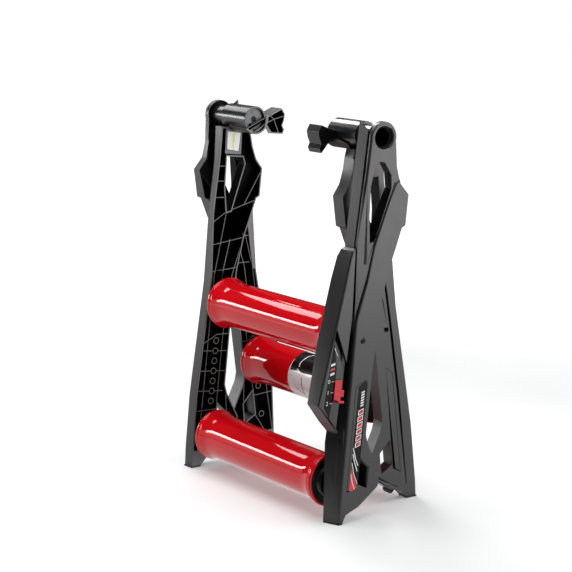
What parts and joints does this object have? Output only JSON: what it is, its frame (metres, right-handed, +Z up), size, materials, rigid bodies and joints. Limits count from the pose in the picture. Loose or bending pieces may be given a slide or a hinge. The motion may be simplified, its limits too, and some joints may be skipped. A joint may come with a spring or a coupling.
{
  "type": "folding bike rollers",
  "caption": "Folding bike rollers with flared drums between ribbed side rails, standing folded on the feet, with a stepped resistance slider.",
  "frame": {"origin": "on the floor below the middle of the whole object", "axes": "+Z up, +X along the drums, the front leg with the resistance unit towards -Y"},
  "size_m": [0.5662, 0.285, 0.764],
  "materials": {
    "frame_plastic": "satin black moulding with a fine grain",
    "hinge_plastic": "smooth semi-gloss black",
    "cap_plastic": "plain black",
    "drum_red": "polished deep red",
    "slider_red": "smooth red",
    "graphic_panel": null,
    "label_silver": "brushed label plate, bare",
    "steel": "zinc-plated",
    "rubber": "matt black"
  },
  "bodies": {
    "front_frame": {"front_wide_rail": "frame_plastic", "front_wide_rail_panel": "graphic_panel", "front_wide_foot_pad": "rubber", "front_pivot_tube": "hinge_plastic", "front_hinge_cap": "hinge_plastic", "front_hinge_bolt": "steel", "upper_roller_screw_wide_end": "steel", "resistance_housing": "frame_plastic", "resistance_scale": "graphic_panel", "front_narrow_rail": "frame_plastic", "front_narrow_rail_cover": "frame_plastic", "front_narrow_foot_pad": "rubber", "front_end_bumper": "rubber", "front_hinge_sleeve": "hinge_plastic", "front_hinge_foot": "frame_plastic", "upper_roller_screw_narrow_end": "steel", "label_plate": "label_silver", "upper_roller_axle": "steel", "lower_roller_axle": "steel"},
    "rear_frame": {"rear_wide_rail": "frame_plastic", "rear_wide_rail_panel": "graphic_panel", "rear_wide_foot_pad": "rubber", "rear_pivot_tube": "hinge_plastic", "rear_hinge_cap": "hinge_plastic", "rear_hinge_bolt": "steel", "rear_narrow_rail": "frame_plastic", "rear_narrow_rail_cover": "frame_plastic", "rear_narrow_foot_pad": "rubber", "rear_end_bumper": "rubber", "rear_hinge_sleeve": "hinge_plastic", "rear_hinge_foot": "frame_plastic", "middle_roller_axle": "steel"},
    "upper_roller": {"upper_roller_drum": "drum_red", "upper_roller_cap_wide_end": "cap_plastic", "upper_roller_bearing_wide_end": "steel", "upper_roller_cap_narrow_end": "cap_plastic", "upper_roller_bearing_narrow_end": "steel"},
    "middle_roller": {"middle_roller_drum": "drum_red", "middle_roller_cap_wide_end": "cap_plastic", "middle_roller_bearing_wide_end": "steel", "middle_roller_cap_narrow_end": "cap_plastic", "middle_roller_bearing_narrow_end": "steel"},
    "lower_roller": {"lower_roller_drum": "drum_red", "lower_roller_cap_wide_end": "cap_plastic", "lower_roller_bearing_wide_end": "steel", "lower_roller_cap_narrow_end": "cap_plastic", "lower_roller_bearing_narrow_end": "steel"},
    "slider": {"resistance_slider": "slider_red", "magnet_carrier": "cap_plastic", "magnet_upper": "steel", "magnet_lower": "steel"}
  },
  "joints": [
    {"name": "fold", "type": "hinge", "parent": "front_frame", "child": "rear_frame", "pos_m": [0, 0.01255, 0.732], "axis": [1, 0, 0], "range_deg": [0, 166]},
    {"name": "upper_roller_spin", "type": "hinge", "parent": "front_frame", "child": "upper_roller", "pos_m": [0.0219, -0.03773, 0.35127], "axis": [1, 0, 0], "continuous": true},
    {"name": "lower_roller_spin", "type": "hinge", "parent": "front_frame", "child": "lower_roller", "pos_m": [0.0219, -0.07179, 0.07388], "axis": [1, 0, 0], "continuous": true},
    {"name": "middle_roller_spin", "type": "hinge", "parent": "rear_frame", "child": "middle_roller", "pos_m": [-0.0321, 0.08116, 0.20191], "axis": [1, 0, 0], "continuous": true},
    {"name": "resistance_slide", "type": "slide", "parent": "front_frame", "child": "slider", "axis": [0, 0.1219, 0.9925], "range_m": [0, 0.042]}
  ]
}
